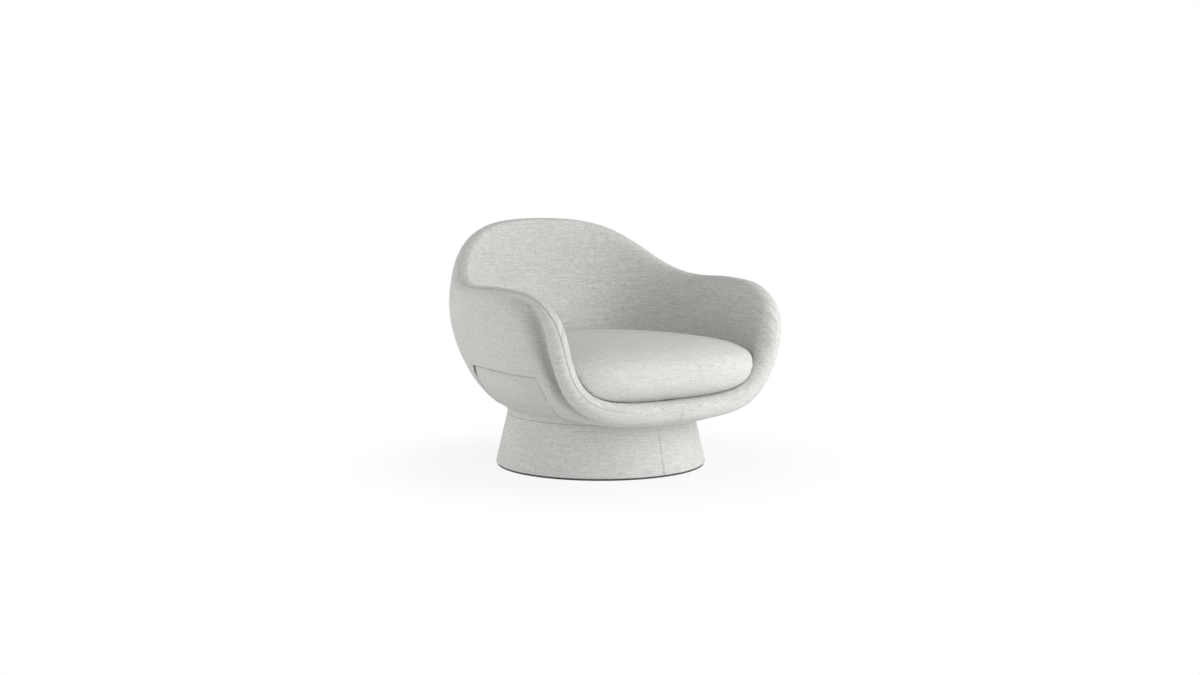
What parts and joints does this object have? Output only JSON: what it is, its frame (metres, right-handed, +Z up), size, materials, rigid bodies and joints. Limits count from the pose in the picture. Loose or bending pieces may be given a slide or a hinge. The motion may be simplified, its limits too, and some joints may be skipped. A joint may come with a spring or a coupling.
{
  "type": "pedestal swivel armchair",
  "caption": "Upholstered tub armchair with a rolled rim, loose crowned cushion and set-back side panels, turning on a fabric-covered truncated cone.",
  "frame": {"origin": "middle of the pedestal's underside on the floor, on the swivel axis", "axes": "+Z up along the swivel axis, -Y towards the chair's front, +X to the right of someone looking at its front"},
  "size_m": [0.9286, 0.8314, 0.7409],
  "materials": {
    "linen": "woven linen-like upholstery cloth, light grey-white",
    "foam": "soft upholstery foam",
    "plywood": "raw plywood",
    "steel": "zinc-plated steel",
    "floor_pad": "dark grey pad",
    "deck_cloth": "dark non-woven cloth",
    "zip": "grey zip tape"
  },
  "bodies": {
    "pedestal": {"floor_pad": "floor_pad", "base_board": "plywood", "base_wall": "plywood", "base_post_1": "plywood", "base_post_2": "plywood", "base_post_3": "plywood", "base_post_4": "plywood", "top_board": "plywood", "base_cover_left": "linen", "base_cover_right": "linen", "swivel_plate_lower": "steel", "plate_bolt_lower_1": "steel", "plate_bolt_lower_2": "steel", "plate_bolt_lower_3": "steel", "plate_bolt_lower_4": "steel"},
    "cage": {"bearing_cage": "steel"},
    "seat": {"swivel_plate_upper": "steel", "plate_bolt_upper_1": "steel", "plate_bolt_upper_2": "steel", "plate_bolt_upper_3": "steel", "plate_bolt_upper_4": "steel", "seat_board": "plywood", "deck_foam": "foam", "deck_cloth": "deck_cloth", "shell_frame": "plywood", "foam_arm_left": "foam", "foam_arm_right": "foam", "foam_back": "foam", "outside_left": "linen", "outside_right": "linen", "side_panel_left": "linen", "side_panel_right": "linen", "inside_arm_left": "linen", "inside_arm_right": "linen", "inside_back": "linen", "neck_collar": "linen", "cushion_cover": "linen", "cushion_foam": "foam", "cushion_zip": "zip"}
  },
  "joints": [
    {"name": "swivel", "type": "hinge", "parent": "pedestal", "child": "seat", "pos_m": [0, 0, 0.1636], "axis": [0, 0, 1], "continuous": true},
    {"name": "cage_roll", "type": "hinge", "parent": "pedestal", "child": "cage", "pos_m": [0, 0, 0.1636], "axis": [0, 0, 1], "continuous": true}
  ],
  "couplings": [
    {"joint": "cage_roll", "follows": "swivel", "ratio": 0.5}
  ]
}
